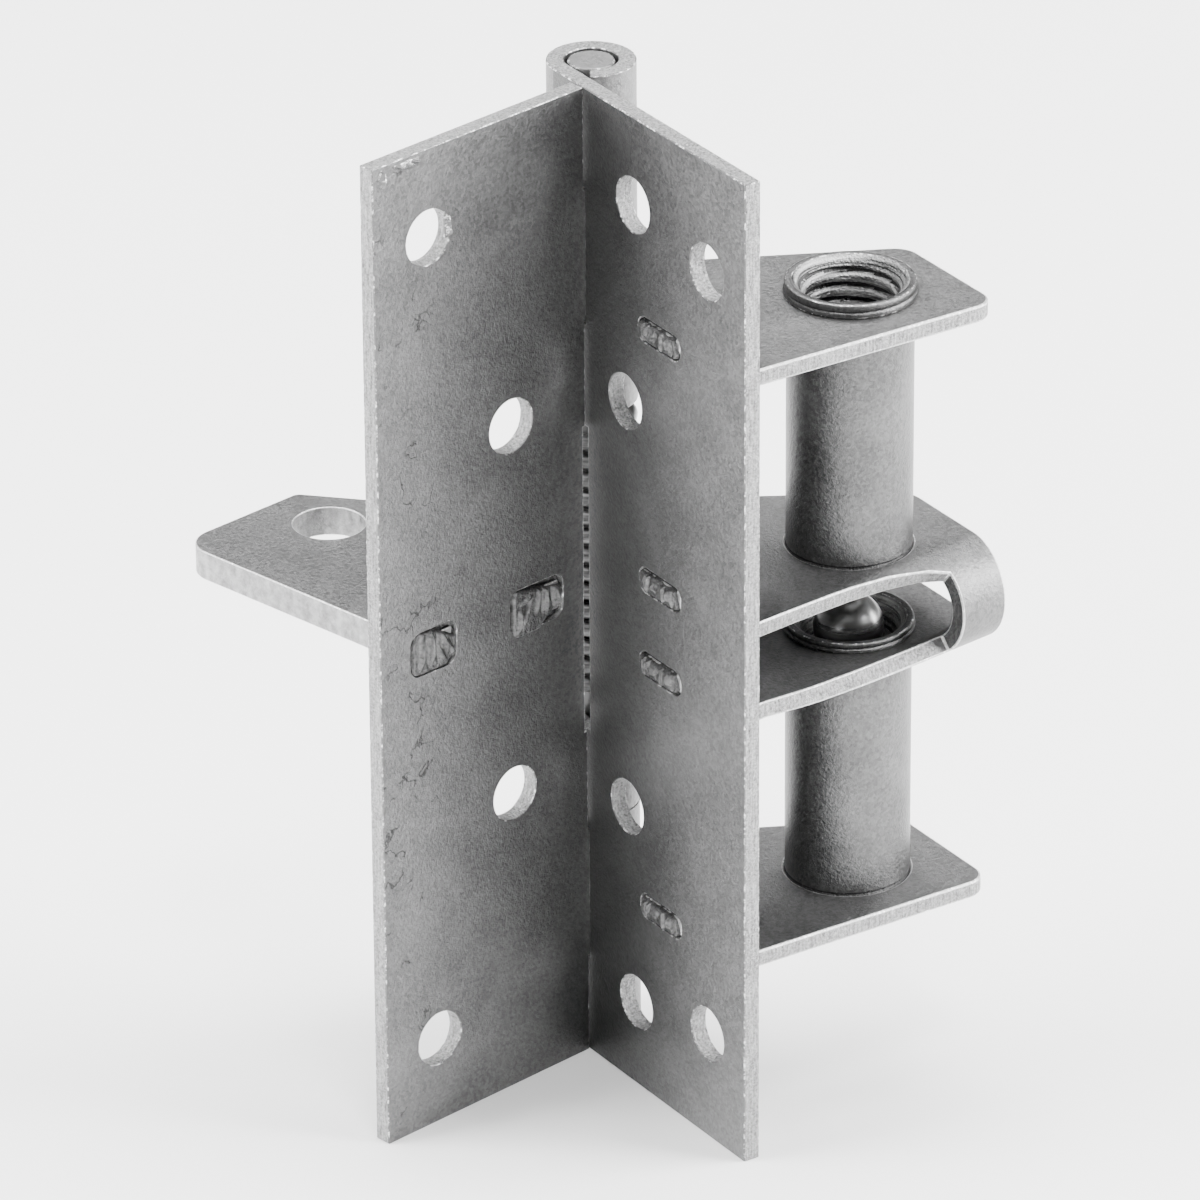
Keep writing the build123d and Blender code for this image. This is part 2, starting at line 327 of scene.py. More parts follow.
class Effects:
    """The shared effects: grain, patches, sheared metal, scuffs, scratches, rings and reach from a line."""

    flake_turn: Triple = (1.1, 0.5, 0.8)
    glint_share: float = 0.65
    torn_span: Plan = (0.45, 1.0)
    scuff_edge: float = 0.03
    spot_edge: float = 0.04
    swirls_per_metre: float = 420.0
    sway: float = 0.005

    def __init__(self) -> None:
        """Build every effect once."""
        self.grain = self.spray_grain()
        self.patches = self.soft_patches()
        self.shear = self.sheared_metal()
        self.scuffs = self.scuff_marks()
        self.scratches = self.scratch_lines()
        self.rings = self.turning_rings()
        self.reach = self.reach_from_line()

    def spray_grain(self) -> Effect:
        """Fine pimples of a sprayed coat.

        Returns:
            The effect, with a height and a tone that vary together.
        """
        made = Effect("spray_grain", {"Grains Per Metre": 3800.0}, ("Height", "Tone"))
        grains = made.start["Grains Per Metre"]
        fine = made.noise(EVEN, grains, Detail=3.0, Roughness=0.7)
        flakes = made.graph.add("ShaderNodeTexVoronoi", {
            "Vector": made.turned(self.flake_turn), "Scale": grains})
        glint = made.graph.add("ShaderNodeSeparateColor", {"Color": flakes.outputs["Color"]}).outputs[0]
        tone = made.graph.scaled(fine, *NOISE_SPAN)
        made.give("Height", tone)
        made.give("Tone", made.graph.weighed(tone, glint, self.glint_share))
        return made

    def soft_patches(self) -> Effect:
        """Broad patches where the coat lies a little thinner.

        Returns:
            The effect, with a tone.
        """
        made = Effect("soft_patches", {"Patches Per Metre": 120.0}, ("Tone",))
        broad = made.noise(EVEN, made.start["Patches Per Metre"], Detail=3.0, Distortion=0.3)
        made.give("Tone", made.graph.scaled(broad, *NOISE_SPAN))
        return made

    def sheared_metal(self) -> Effect:
        """Coarse torn grain of a sheared edge, with short drag lines.

        Returns:
            The effect, with a height and a tone.
        """
        made = Effect("sheared_metal", {"Tears Per Metre": 1500.0, "Drag": 0.5}, ("Height", "Tone"))
        torn = made.noise(EVEN, made.start["Tears Per Metre"], Detail=4.0, Roughness=0.7)
        lines = made.noise((1.0, 1.0, 0.12), made.start["Tears Per Metre"], Detail=1.0)
        both = made.graph.maths("ADD", torn, made.graph.maths("MULTIPLY", lines, made.start["Drag"]))
        made.give("Height", both)
        made.give("Tone", made.graph.scaled(both, *self.torn_span))
        return made

    def scuff_marks(self) -> Effect:
        """Sparse pits and short thin scratches.

        Returns:
            The effect, with a mask that is one in a mark.
        """
        made = Effect("scuff_marks", {"Marks Per Metre": 160.0, "Limit": 0.7}, ("Mask",))
        lines = made.noise((1.0, 0.7, 0.16), made.start["Marks Per Metre"], Detail=5.0, Roughness=0.72,
                           Distortion=0.6)
        over = made.graph.maths("SUBTRACT", lines, made.start["Limit"])
        made.give("Mask", made.graph.scaled(over, 0.0, self.scuff_edge))
        return made

    def scratch_lines(self) -> Effect:
        """Thin wandering scratches in scattered spots.

        Returns:
            The effect, with a mask that is one in a scratch.
        """
        made = Effect("scratch_lines", {"Lines Per Metre": 190.0, "Width": 0.035, "Limit": 0.52}, ("Mask",))
        graph = made.graph
        swirl = graph.add("ShaderNodeTexNoise", {
            "Vector": made.place, "Scale": self.swirls_per_metre, "Detail": 3.0}).outputs["Color"]
        sway = graph.add("ShaderNodeVectorMath", {0: swirl, "Scale": self.sway}, operation="SCALE").outputs[0]
        bent = graph.add("ShaderNodeVectorMath", {0: made.place, 1: sway}, operation="ADD").outputs[0]
        edge = graph.add("ShaderNodeTexVoronoi", {"Vector": bent, "Scale": made.start["Lines Per Metre"]},
                         feature="DISTANCE_TO_EDGE").outputs["Distance"]
        line = graph.scaled(edge, 0.0, made.start["Width"], 1.0, 0.0)
        spots = made.noise(EVEN, made.start["Lines Per Metre"], Detail=2.0)
        over = graph.maths("SUBTRACT", spots, made.start["Limit"])
        made.give("Mask", graph.maths("MULTIPLY", line, graph.scaled(over, 0.0, self.spot_edge)))
        return made

    def turning_rings(self) -> Effect:
        """Fine rings left by turning or drawing, level by level up the piece.

        Returns:
            The effect, with a height and a tone.
        """
        made = Effect("turning_rings", {"Rings Per Metre": 4000.0, "Waver": 0.2}, ("Height", "Tone"))
        rings = made.noise((0.05, 0.05, 1.0), made.start["Rings Per Metre"], Detail=2.0)
        loose = made.noise(EVEN, made.start["Rings Per Metre"])
        waver = made.graph.maths("MULTIPLY", loose, made.start["Waver"])
        made.give("Height", made.graph.maths("ADD", rings, waver))
        made.give("Tone", made.graph.scaled(rings, *NOISE_SPAN))
        return made

    def reach_from_line(self) -> Effect:
        """How far a place lies from an upright line, as a mask.

        Returns:
            The effect, with a mask that falls from one at the near distance to nought at the far one.
        """
        made = Effect("reach_from_line", {"Line X": 0.0, "Line Y": 0.0, "Near": 0.0, "Far": 0.02}, ("Mask",))
        parts = made.graph.add("ShaderNodeSeparateXYZ", {0: made.place}).outputs
        aside = made.graph.maths("SUBTRACT", parts["X"], made.start["Line X"])
        behind = made.graph.maths("SUBTRACT", parts["Y"], made.start["Line Y"])
        squared = made.graph.maths("ADD", made.graph.maths("MULTIPLY", aside, aside),
                                   made.graph.maths("MULTIPLY", behind, behind))
        reach = made.graph.maths("SQRT", squared)
        ramp = made.graph.add("ShaderNodeMapRange", {
            0: reach, 1: made.start["Near"], 2: made.start["Far"], 3: 1.0, 4: 0.0},
            interpolation_type="SMOOTHSTEP")
        made.give("Mask", ramp.outputs[0])
        return made


@dataclass(frozen=True)
class Finish:
    """What every finish starts from."""

    name: str

    def start(self) -> tuple[Material, Graph]:
        """Make the material and start on its nodes.

        Returns:
            The material and its graph.
        """
        made = bpy.data.materials.new(self.name)
        made.use_nodes = True
        return made, Graph(made.node_tree)


@dataclass(frozen=True)
class SprayedCoat(Finish):
    """Satin silver-grey coat over steel: fine grain, soft patches and a few scuffs.

    A coat with a corner has painted shade, darker towards the corner of the V where the leaves shade each
    other.
    One with a worn limit as well is scratched far from it.
    """

    level: float = 0.1
    patch_level: float = 0.26
    metallic: float = 0.9
    roughness: float = 0.4
    grain_depth: float = 0.00004
    grains: float = 2700.0
    scuff_limit: float = 0.74
    scuff_level: float = 0.05
    corner: Plan | None = None
    # Painted shade towards the corner of the V: its strength, its reach in mm and its darkest level
    painted_corner_shade: float = 0.0
    painted_shade_reach: float = 24.0
    painted_shade_level: float = 0.2
    worn_limit: float | None = None
    worn_from: float = 20.0
    worn_edge: float = 6.0
    grain_share: float = 0.65
    spread: Plan = (-0.05, 0.07)

    def material(self, effects: Effects) -> Material:
        """Make the coat's material.

        Args:
            effects: The shared effects.

        Returns:
            The finished material.
        """
        made, graph = self.start()
        grain = effects.grain.put(graph, Grains_Per_Metre=self.grains)
        patches = effects.patches.put(graph)
        scuffs = effects.scuffs.put(graph, Limit=self.scuff_limit)
        mottled = graph.weighed(patches["Tone"], grain["Tone"], self.grain_share)
        coat = graph.colour(mottled, grey(self.level), grey(self.patch_level))
        marks = scuffs["Mask"]
        if self.corner is not None:
            line = {"Line_X": self.corner[0] * MM, "Line_Y": self.corner[1] * MM}
            # Painted shade: the coat darkens towards the corner of the V, where the two leaves shade each
            # other
            corner = effects.reach.put(graph, Near=0.0, Far=self.painted_shade_reach * MM, **line)
            shaded = graph.maths("MULTIPLY", corner["Mask"], self.painted_corner_shade)
            coat = graph.colour(shaded, coat, grey(self.level * self.painted_shade_level))
            if self.worn_limit is not None:
                inside = effects.reach.put(graph, Near=self.worn_from * MM,
                                           Far=(self.worn_from + self.worn_edge) * MM, **line)
                worn = effects.scratches.put(graph, Limit=self.worn_limit)
                outside = graph.maths("SUBTRACT", 1.0, inside["Mask"])
                marks = graph.maths("MAXIMUM", marks, graph.maths("MULTIPLY", worn["Mask"], outside))
        height = graph.maths("SUBTRACT", grain["Height"], marks)
        graph.dress(Base_Color=graph.colour(marks, coat, grey(self.scuff_level)),
                    Metallic=self.metallic,
                    Roughness=graph.around(grain["Tone"], self.roughness, self.spread),
                    Normal=graph.bump(height, self.grain_depth))
        return made


@dataclass(frozen=True)
class ShearedEdge(Finish):
    """Coated metal that was torn or crushed: lighter, coarse and speckled."""

    level: float = 0.05
    light_level: float = 0.5
    metallic: float = 0.7
    roughness: float = 0.4
    depth: float = 0.00022
    tears: float = 3400.0
    grain_share: float = 0.3
    spread: Plan = (-0.06, 0.1)

    def material(self, effects: Effects) -> Material:
        """Make the sheared edge's material.

        Args:
            effects: The shared effects.

        Returns:
            The finished material.
        """
        made, graph = self.start()
        torn = effects.shear.put(graph, Tears_Per_Metre=self.tears)
        grain = effects.grain.put(graph)
        fine = graph.maths("MULTIPLY", grain["Height"], self.grain_share)
        height = graph.maths("ADD", torn["Height"], fine)
        graph.dress(Base_Color=graph.colour(torn["Tone"], grey(self.level), grey(self.light_level)),
                    Metallic=self.metallic,
                    Roughness=graph.around(grain["Tone"], self.roughness, self.spread),
                    Normal=graph.bump(height, self.depth))
        return made


@dataclass(frozen=True)
class BrightArris(Finish):
    """Thin bright line along a corner where the coat is rubbed to metal."""

    level: float = 0.14
    bright_level: float = 1.0
    roughness: float = 0.3
    depth: float = 0.00003
    breaks: float = 1300.0
    drag: float = 0.1
    tone_span: Plan = (0.2, 0.5)
    bare_span: tuple[float, float, float, float] = (0.2, 0.8, 0.7, 0.3)
    spread: Plan = (-0.05, 0.15)

    def material(self, effects: Effects) -> Material:
        """Make the rubbed corner's material.

        Args:
            effects: The shared effects.

        Returns:
            The finished material.
        """
        made, graph = self.start()
        broken = effects.shear.put(graph, Tears_Per_Metre=self.breaks, Drag=self.drag)
        grain = effects.grain.put(graph)
        tone = graph.scaled(broken["Tone"], *self.tone_span)
        graph.dress(Base_Color=graph.colour(tone, grey(self.level), grey(self.bright_level)),
                    Metallic=graph.scaled(broken["Tone"], *self.bare_span),
                    Roughness=graph.around(grain["Tone"], self.roughness, self.spread),
                    Normal=graph.bump(grain["Height"], self.depth))
        return made


@dataclass(frozen=True)
class BareSteel(Finish):
    """Uncoated turned, drawn or polished steel."""

    level: float
    light_level: float
    roughness: float
    ring_depth: float
    rings: float = 4000.0
    waver: float = 0.2
    scuffs_per_metre: float = 420.0
    scuff_limit: float = 0.68
    rougher: float = 1.5

    def material(self, effects: Effects) -> Material:
        """Make the steel's material.

        Args:
            effects: The shared effects.

        Returns:
            The finished material.
        """
        made, graph = self.start()
        rings = effects.rings.put(graph, Rings_Per_Metre=self.rings, Waver=self.waver)
        scuffs = effects.scuffs.put(graph, Marks_Per_Metre=self.scuffs_per_metre, Limit=self.scuff_limit)
        height = graph.maths("SUBTRACT", rings["Height"], scuffs["Mask"])
        graph.dress(Base_Color=graph.colour(rings["Tone"], grey(self.level), grey(self.light_level)),
                    Metallic=1.0,
                    Roughness=graph.scaled(rings["Tone"], 0.0, 1.0, self.roughness,
                                           self.roughness * self.rougher),
                    Normal=graph.bump(height, self.ring_depth))
        return made


@dataclass(frozen=True)
class PaleFloor(Finish):
    """Plain pale floor with faint broad patches."""

    name: str = "pale_floor"
    level: float = 0.97
    lighter: float = 0.015
    patches_per_metre: float = 3.0
    roughness: float = 0.8

    def material(self, effects: Effects) -> Material:
        """Make the floor's material.

        Args:
            effects: The shared effects.

        Returns:
            The finished material.
        """
        made, graph = self.start()
        patches = effects.patches.put(graph, Patches_Per_Metre=self.patches_per_metre)
        pale = graph.colour(patches["Tone"], grey(self.level), grey(self.level + self.lighter))
        graph.dress(Base_Color=pale, Roughness=self.roughness)
        return made


class Look(Enum):
    """Every finish on the hinge."""

    LEAF = SprayedCoat("leaf_coat")
    # The leaves' fronts: painted shade towards the corner of the V; the tongue's front also has real
    # scratches far from it
    CATCH_FRONT_PAINTED_SHADE = SprayedCoat("catch_front_painted_shade_coat", corner=V_CORNER, painted_corner_shade=0.6)
    TONGUE_FRONT_PAINTED_SHADE = SprayedCoat("tongue_front_painted_shade_coat", corner=V_CORNER, painted_corner_shade=0.42, worn_limit=0.545)
    BRACKET = SprayedCoat("bracket_coat", level=0.09, patch_level=0.235)
    TUBE = SprayedCoat("tube_coat", level=0.065, patch_level=0.19, metallic=0.95, roughness=0.36,
                       grain_depth=0.00005, scuff_limit=0.7)
    PIN = SprayedCoat("pin_coat", level=0.17, patch_level=0.27, roughness=0.46, scuff_limit=0.7)
    SHEARED = ShearedEdge("sheared_edge")
    BLANKED = ShearedEdge("blanked_edge", level=0.14, light_level=0.45, tears=900.0, depth=0.00012)
    # Painted shade: a darker copy of the sheared edge for the cut faces at the fold's ends
    PAINTED_SHADE_CUT = ShearedEdge("painted_shade_cut", level=0.02, light_level=0.14, metallic=0.85)
    ARRIS = BrightArris("bright_arris")
    ROLLED_RIM = BrightArris("rolled_rim", level=0.5, breaks=2600.0)
    STAKED = ShearedEdge("staked_tab", level=0.03, light_level=0.2, metallic=0.85, roughness=0.34,
                         tears=1900.0, depth=0.0001)
    THREAD = BareSteel("tapped_thread", level=0.05, light_level=0.5, roughness=0.4, ring_depth=0.00012,
                       rings=3600.0, waver=2.0)
    # Painted shade: near-black steel for the tubes' grooves, the undersides of their lips and the thread's
    # deep roots
    PAINTED_SHADE_CREVICE = BareSteel("painted_shade_crevice", level=0.01, light_level=0.12, roughness=0.45, ring_depth=0.0001,
                        rings=3600.0, waver=2.0)
    SPRING = BareSteel("spring_wire", level=0.16, light_level=0.34, roughness=0.3, ring_depth=0.00001)
    BALL = BareSteel("ball_steel", level=0.2, light_level=0.36, roughness=0.24, ring_depth=0.000006,
                     rings=900.0, waver=1.2)
    SCREW = BareSteel("screw_steel", level=0.18, light_level=0.28, roughness=0.34, ring_depth=0.00002)


class Finishes:
    """The hinge's finishes as materials, each made once."""

    def __init__(self, effects: Effects) -> None:
        """Make the materials.

        Args:
            effects: The shared effects.
        """
        self.made = {look: look.value.material(effects) for look in Look}

    def of(self, *looks: Look) -> list[Material]:
        """Pick materials in order.

        Args:
            *looks: The finishes wanted.

        Returns:
            Their materials.
        """
        return [self.made[look] for look in looks]


class Piece:
    """Helpers that finish one mesh and set it on its body."""

    join_distance: float = 2e-7

    @staticmethod
    def settle(name: str, made: BMesh, finishes: list[Material], smooth: bool = True) -> bpy.types.Object:
        """Turn a mesh in the making into an object.

        Args:
            name: The piece's name.
            made: The mesh, which is freed.
            finishes: The piece's materials in order.
            smooth: Whether its faces are shaded smooth.

        Returns:
            The new object.
        """
        mesh = bpy.data.meshes.new(name)
        for face in made.faces:
            face.smooth = smooth
        made.to_mesh(mesh)
        made.free()
        for finish in finishes:
            mesh.materials.append(finish)
        piece = bpy.data.objects.new(name, mesh)
        bpy.context.scene.collection.objects.link(piece)
        return piece

    @staticmethod
    def copy_of(node: str) -> BMesh:
        """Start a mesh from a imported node, with its doubled corners joined.

        Args:
            node: The node's name.

        Returns:
            The mesh in the making.
        """
        made = bmesh.new()
        made.from_mesh(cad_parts[node].data)
        bmesh.ops.remove_doubles(made, verts=made.verts, dist=Piece.join_distance)
        return made

    @staticmethod
    def set_on(piece: bpy.types.Object, body: str, slot: str, *nodes: str) -> None:
        """Let a piece ride on its body, in place of the nodes it stands for.

        Args:
            piece: The piece.
            body: The body it moves with.
            slot: The record's material slot; not used.
            *nodes: The nodes it replaces.
        """
        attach(piece, body)
        if nodes:
            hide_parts(*nodes)
        log.info("%s: %d faces on %s", piece.name, len(piece.data.polygons), body)


@dataclass(frozen=True)
class LeafPlane:
    """The front face of a leaf: where it starts, which way it runs and on which side of that it faces."""

    start: Plan
    along: Plan
    side: float = 1.0

    @property
    def out(self) -> Plan:
        """The direction out of the front face."""
        return (self.side * self.along[1], -self.side * self.along[0])

    def at(self, reach: float, level: float, proud: float = 0.0) -> Vector:
        """A point on or in front of the face.

        Args:
            reach: Distance from the leaf's start, in mm.
            level: Height, in mm.
            proud: Distance out of the face, in mm.

        Returns:
            The point in metres.
        """
        x = self.start[0] + reach * self.along[0] + proud * self.out[0]
        y = self.start[1] + reach * self.along[1] + proud * self.out[1]
        return Vector((x, y, level)) * MM


@dataclass
class PressedPiece:
    """A piece cut from sheet: flat faces, sheared edges and rubbed corners."""

    node: str
    body: str
    slot: str
    face_direction: Triple
    arris_width: float = 0.13
    arris_segments: int = 2
    arris_angle: float = 33.0
    barrel: Plan | None = None
    barrel_reach: float = 5.3
    fold: tuple[Plan, Plan, float] | None = None
    front: Plan | None = None
    flat_limit: float = 0.6
    facing_limit: float = 0.8
    end_limit: float = 0.85
    bend_start: float = 0.5
    even_angle: float = 0.6

    def surface_of(self, face: BMFace) -> Surface:
        """Tell a face of the sheet from one that the press sheared.

        Args:
            face: The face to look at.

        Returns:
            The surface it belongs to.
        """
        normal = face.normal
        if self.barrel is not None:
            centre = face.calc_center_median() / MM
            if math.hypot(centre.x - self.barrel[0], centre.y - self.barrel[1]) < self.barrel_reach:
                return Surface.SHEARED if abs(normal.z) > self.flat_limit else Surface.FLAT
        if self.fold is not None and self.on_bend(face):
            return Surface.FLAT
        # A leaf's front takes the extra finish, with painted shade towards the corner of the V
        if self.front is not None and normal.xy.dot(Vector(self.front)) > self.facing_limit:
            return Surface.PAINTED_SHADE
        if abs(normal.dot(Vector(self.face_direction))) > self.flat_limit:
            return Surface.FLAT
        # The cut faces at the fold's ends take the extra finish, a sheared edge darkened as painted shade
        if self.fold is not None and self.past_fold(face)[2] > self.end_limit:
            return Surface.PAINTED_SHADE
        return Surface.SHEARED

    def past_fold(self, face: BMFace) -> tuple[float, Vector, float]:
        """Measure a face from the fold's axis.

        Args:
            face: The face to look at.

        Returns:
            How far out of the bend it lies, in mm; the way from the axis to it; and how far it faces along
            the axis, which is nought short of the bend.
        """
        near, far, level = self.fold
        way = Vector((far[0] - near[0], far[1] - near[1], 0.0)).normalized()
        reach = face.calc_center_median() / MM - Vector((near[0], near[1], level))
        spoke = reach - way * reach.dot(way)
        outward = spoke.x * way.y - spoke.y * way.x
        facing = abs(face.normal.dot(way)) if outward > self.bend_start else 0.0
        return outward, spoke.normalized(), facing

    def on_bend(self, face: BMFace) -> bool:
        """Tell whether a face is the inside or outside of the sheet's bend.

        Args:
            face: The face to look at.

        Returns:
            True on the bend.
        """
        outward, spoke, _ = self.past_fold(face)
        return outward > -self.bend_start and abs(face.normal.dot(spoke)) > self.facing_limit

    def build(self, finishes: list[Material]) -> bpy.types.Object:
        """Build the piece from its node and finish its edges.

        Args:
            finishes: The flat, sheared and rubbed materials, and the extra one with painted shade where the
                piece has it.

        Returns:
            The piece, riding on its body.
        """
        made = Piece.copy_of(self.node)
        bmesh.ops.dissolve_limit(made, angle_limit=math.radians(self.even_angle), verts=made.verts,
                                 edges=made.edges)
        for face in made.faces:
            face.material_index = self.surface_of(face).value
        piece = Piece.settle(f"{self.node}_dressed", made, finishes)
        arris = piece.modifiers.new("arris", "BEVEL")
        arris.width = self.arris_width * MM
        arris.segments = self.arris_segments
        arris.limit_method = "ANGLE"
        arris.angle_limit = math.radians(self.arris_angle)
        arris.use_clamp_overlap = False
        arris.material = Surface.ARRIS.value
        even = piece.modifiers.new("even_faces", "WEIGHTED_NORMAL")
        even.mode = "FACE_AREA"
        even.weight = 100
        Piece.set_on(piece, self.body, self.slot, self.node)
        return piece


@dataclass(frozen=True)
class Ridge:
    """A bead of upset metal, or a crease where its rise is below nought, on a staked tab.

    Its sizes are in mm and its lean is in degrees.
    """

    across: float
    up: float
    lean: float
    spread: float
    length: float
    rise: float

    def at(self, across: float, up: float) -> float:
        """How much the ridge adds at a place on the tab.

        Args:
            across: Place along the slot from the tab's middle, in mm.
            up: Place above the tab's middle, in mm.

        Returns:
            The rise in mm.
        """
        turn = math.radians(self.lean)
        x, y = across - self.across, up - self.up
        aside = (x * math.cos(turn) + y * math.sin(turn)) / self.spread
        along = (y * math.cos(turn) - x * math.sin(turn)) / self.length
        return self.rise * math.exp(-aside * aside - along ** 4)


@dataclass
class StakedTab:
    """The end of a tab peened over in its slot: a rough lump with upset ridges and a gap on one side."""

    name: str
    plane: LeafPlane
    reach: float
    level: float
    width: float
    height: float
    body: str
    ridges: tuple[Ridge, ...]
    trims: tuple[Triple, ...] = ()
    seed: float = 0.0
    proud: float = 0.16
    upset: float = 1.35
    sunk: float = 0.75
    roll: float = 0.55
    mirrored: bool = False
    step: float = 0.085
    slot: str = "bracket_paint"
    wander: float = 0.16
    rough: float = 0.05
    grit: float = 0.025
    skirt: float = 0.3

    def uneven(self, across: float, up: float, rates: Plan, layer: float) -> float:
        """Noise over the lump.

        Args:
            across: Place along the slot from the lump's middle, in mm.
            up: Place above the lump's middle, in mm.
            rates: How fast it changes each way, per mm.
            layer: Which layer of the noise it reads.

        Returns:
            A value about nought.
        """
        return noise.noise(Vector((across * rates[0], up * rates[1], self.seed + layer)))

    def stand(self, across: float, up: float) -> float:
        """How far the lump stands out of the leaf at a place.

        Args:
            across: Place along the slot from the lump's middle, in mm.
            up: Place above the lump's middle, in mm.

        Returns:
            The stand in mm, below nought inside the slot.
        """
        wander = self.wander * self.uneven(across, up, (0.9, 0.9), 0.0)
        inside = self.roll * 2
        corner_x = max(0.0, abs(across) - self.width / 2 + inside)
        corner_y = max(0.0, abs(up) - self.height / 2 + inside)
        depth = inside - math.hypot(corner_x, corner_y) + wander
        for way_x, way_y, limit in self.trims:
            depth = min(depth, limit - way_x * across - way_y * up + wander)
        share = min(1.0, max(0.0, depth / self.roll))
        share = share * share * (3 - 2 * share)
        ridged = self.upset * sum(ridge.at(across, up) for ridge in self.ridges)
        rough = self.rough * self.uneven(across, up, (2.3, 1.4), 3.1)
        grit = self.grit * self.uneven(across, up, (7.0, 5.0), 7.7)
        return -self.sunk + share * (self.sunk + self.proud + ridged + rough + grit)

    def build(self, finish: Material) -> bpy.types.Object:
        """Build the lump.

        Args:
            finish: The staked metal's material.

        Returns:
            The piece, riding on its body.
        """
        made = bmesh.new()
        columns = int(self.width / self.step)
        rows = int(self.height / self.step)
        way = -1.0 if self.mirrored else 1.0
        grid = []
        for row in range(rows + 1):
            up = self.height * (row / rows - 0.5)
            line = []
            for column in range(columns + 1):
                across = self.width * (column / columns - 0.5)
                place = self.plane.at(self.reach + way * across, self.level + up, self.stand(across, up))
                line.append(made.verts.new(place))
            grid.append(line)
        for low, high in zip(grid, grid[1:]):
            for column in range(columns):
                made.faces.new((low[column], low[column + 1], high[column + 1], high[column]))
        rim = [edge for edge in made.edges if edge.is_boundary]
        drawn = bmesh.ops.extrude_edge_only(made, edges=rim)["geom"]
        inward = Vector((-self.plane.out[0], -self.plane.out[1], 0.0)) * self.skirt * MM
        skirt = [corner for corner in drawn if isinstance(corner, BMVert)]
        bmesh.ops.translate(made, verts=skirt, vec=inward)
        bmesh.ops.contextual_create(made, geom=[edge for edge in made.edges if edge.is_boundary])
        bmesh.ops.recalc_face_normals(made, faces=made.faces)
        piece = Piece.settle(self.name, made, [finish])
        Piece.set_on(piece, self.body, self.slot)
        return piece


@dataclass
class Lathe:
    """A ring of mesh turned about an upright axis from one closed outline."""

    axis: Plan
    segments: int = 96

    def turn(self, outline: Callable[[float], Outline]) -> BMesh:
        """Turn an outline that may change with its angle.

        Args:
            outline: Gives the closed outline at an angle, as radius, level and material number.

        Returns:
            The mesh in the making.
        """
        made = bmesh.new()
        rings = []
        for step in range(self.segments):
            angle = 2 * math.pi * step / self.segments
            line = []
            for radius, level, surface in outline(angle):
                place = Vector((self.axis[0] + radius * math.cos(angle),
                                self.axis[1] + radius * math.sin(angle), level)) * MM
                line.append((made.verts.new(place), surface))
            rings.append(line)
        count = len(rings[0])
        for step, ring in enumerate(rings):
            beside = rings[(step + 1) % self.segments]
            for row in range(count):
                above = (row + 1) % count
                corners = (ring[row][0], beside[row][0], beside[above][0], ring[above][0])
                face = made.faces.new(corners)
                face.material_index = ring[row][1]
        bmesh.ops.recalc_face_normals(made, faces=made.faces)
        return made


